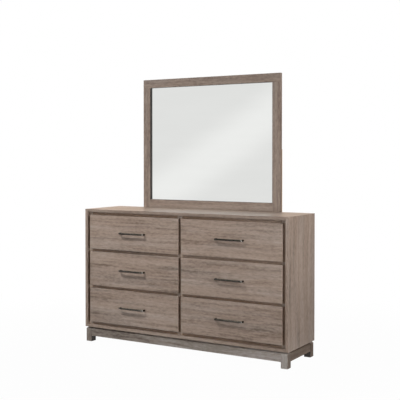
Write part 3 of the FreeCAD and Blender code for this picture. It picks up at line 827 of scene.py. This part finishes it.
def floor_paint():
    """Matt white studio floor: it glows in the picture and stays grey where it throws light back."""
    material, tree = new_material("studio_floor_white")
    place = add(tree, "TexCoord", {}).outputs["Object"]
    away = add(tree, "VectorMath", {0: place}, operation="LENGTH")
    white = add(tree, "MapRange", {"Value": away.outputs["Value"], "From Min": NEAR, "From Max": FAR,
                                   "To Min": FLOOR_GLOW, "To Max": 1.0}, interpolation_type="SMOOTHSTEP")
    # Reflections see little glow towards the unlit corner
    corner = add(tree, "VectorMath", {0: place, 1: DARK_CORNER}, operation="DOT_PRODUCT")
    dimming = add(tree, "MapRange", {"Value": corner.outputs["Value"], "From Min": CORNER_FLOOR[0],
                                     "From Max": CORNER_FLOOR[1], "To Min": 1.0,
                                     "To Max": CORNER_FLOOR_GLOW}, interpolation_type="SMOOTHSTEP")
    ray = add(tree, "LightPath", {})
    dimming = add(tree, "Math", {0: dimming.outputs[0], 1: ray.outputs["Is Camera Ray"]}, operation="MAXIMUM")
    share = add(tree, "Math", {0: seen(tree), 1: white.outputs[0]}, operation="MULTIPLY")
    share = add(tree, "Math", {0: share.outputs[0], 1: dimming.outputs[0]}, operation="MULTIPLY")
    matt = add(tree, "BsdfDiffuse", {"Color": linear(FLOOR_GREY)})
    glow = add(tree, "Emission", {"Color": linear(WHITE), "Strength": 1.0})
    mixed = add(tree, "MixShader", {0: share.outputs[0], 1: matt.outputs[0], 2: glow.outputs[0]})
    add(tree, "OutputMaterial", {"Surface": mixed.outputs[0]})
    return material


def studio_floor():
    shape = bmesh.new()
    bmesh.ops.create_grid(shape, x_segments=1, y_segments=1, size=FLOOR_SIZE / 2)
    mesh = bpy.data.meshes.new("studio_floor")
    shape.to_mesh(mesh)
    shape.free()
    mesh.materials.append(floor_paint())
    floor = bpy.data.objects.new("studio_floor", mesh)
    bpy.context.scene.collection.objects.link(floor)


def studio_world():
    """White where the camera looks, a pale room in reflections, dimmer as light on the object."""
    world = bpy.data.worlds.new("studio")
    world.use_nodes = True
    tree = world.node_tree
    tree.nodes.clear()
    ray = add(tree, "LightPath", {})
    way = add(tree, "TexCoord", {}).outputs["Generated"]
    across = add(tree, "VectorMath", {0: way, 1: BAND_NORMAL}, operation="DOT_PRODUCT")
    across = add(tree, "Math", {0: across.outputs["Value"]}, operation="ABSOLUTE")
    room = add(tree, "MapRange", {"Value": across.outputs[0], "From Min": BAND_NONE, "From Max": BAND_FULL,
                                  "To Min": ROOM, "To Max": ROOM + BAND_LIGHT},
               interpolation_type="SMOOTHSTEP")
    corner = add(tree, "VectorMath", {0: way, 1: DARK_CORNER}, operation="DOT_PRODUCT")
    dimming = add(tree, "MapRange", {"Value": corner.outputs["Value"], "From Min": CORNER_WALL[0],
                                     "From Max": CORNER_WALL[1], "To Min": 1.0,
                                     "To Max": CORNER_WALL_LIGHT}, interpolation_type="SMOOTHSTEP")
    room = add(tree, "Math", {0: room.outputs[0], 1: dimming.outputs[0]}, operation="MULTIPLY")
    deep = add(tree, "SeparateXYZ", {"Vector": way})
    behind = add(tree, "MapRange", {"Value": deep.outputs["Y"], "From Min": BACK_WALL[0],
                                    "From Max": BACK_WALL[1]})
    lift = add(tree, "Math", {0: behind.outputs[0], 1: BACK_LIFT, 2: 1.0}, operation="MULTIPLY_ADD")
    room = add(tree, "Math", {0: room.outputs[0], 1: lift.outputs[0]}, operation="MULTIPLY")
    through = add(tree, "Math", {0: ray.outputs["Is Glossy Ray"], 1: ray.outputs["Is Transmission Ray"]},
                  operation="MAXIMUM")
    strength = add(tree, "Mix", {0: through.outputs[0], NUMBER_A: AMBIENT, NUMBER_B: room.outputs[0]})
    strength = add(tree, "Mix", {0: ray.outputs["Is Camera Ray"], NUMBER_A: strength.outputs[NUMBER_RESULT],
                                 NUMBER_B: 1.0})
    unseen = add(tree, "Math", {0: 1.0, 1: ray.outputs["Is Camera Ray"]}, operation="SUBTRACT")
    warmth = add(tree, "Math", {0: behind.outputs[0], 1: unseen.outputs[0]}, operation="MULTIPLY")
    colour = add(tree, "Mix", {0: warmth.outputs[0], MIX_A: linear(WHITE), MIX_B: linear(BACK_WARM)},
                 data_type="RGBA")
    light = add(tree, "Background", {"Color": colour.outputs[MIX_RESULT],
                                     "Strength": strength.outputs[NUMBER_RESULT]})
    add(tree, "OutputWorld", {"Surface": light.outputs[0]})
    bpy.context.scene.world = world


def softbox(name, place, aim, size, power, spread=180, mirrored=True):
    """A light of a width and height, which fans out over an angle in degrees.

    A light that isn't mirrored stays out of reflections.
    """
    lamp = bpy.data.lights.new(name, "AREA")
    lamp.spread = math.radians(spread)
    lamp.shape = "RECTANGLE"
    lamp.size, lamp.size_y = size
    lamp.energy = power
    holder = bpy.data.objects.new(name, lamp)
    holder.location = place
    holder.rotation_euler = (Vector(aim) - Vector(place)).to_track_quat("-Z", "Y").to_euler()
    holder.visible_glossy = mirrored
    bpy.context.scene.collection.objects.link(holder)


def camera():
    """The photograph's viewpoint, eye height 1.25 m, right of the front."""
    lens = bpy.data.cameras.new("camera")
    lens.sensor_width = SENSOR
    lens.lens = LENS
    lens.shift_y = LENS_SHIFT
    holder = bpy.data.objects.new("camera", lens)
    holder.location = EYE
    holder.rotation_euler = (math.radians(EYE_TILT), 0.0, math.radians(EYE_TURN))
    bpy.context.scene.collection.objects.link(holder)
    bpy.context.scene.camera = holder


studio_floor()
studio_world()
softbox("key_softbox", place=(-1.37, -2.3, 3.77), aim=(-0.5, -0.2, 0.6), size=(0.22, 0.22), power=18.5,
        spread=70)
softbox("front_softbox", place=(0.6, -4.6, 0.85), aim=(0.2, -0.2, 0.5), size=(1.8, 1.6), power=21,
        mirrored=False)
softbox("right_softbox", place=(3.6, -1.5, 1.6), aim=(0.75, -0.1, 1.35), size=(1.1, 1.5), power=24,
        spread=80, mirrored=False)
softbox("right_strip", place=(2.9, -2.45, 0.55), aim=(0.3, -0.2, 0.45), size=(0.3, 1.0), power=9)
softbox("left_softbox", place=(-3.6, 0.2, 3.0), aim=(-0.75, 0.0, 0.5), size=(1.4, 1.4), power=17,
        spread=70)
softbox("back_softbox", place=(1.2, 4.5, 3.6), aim=(0.0, 0.2, 0.9), size=(1.6, 1.6), power=150)
camera()

bpy.context.scene.view_settings.view_transform = "Standard"
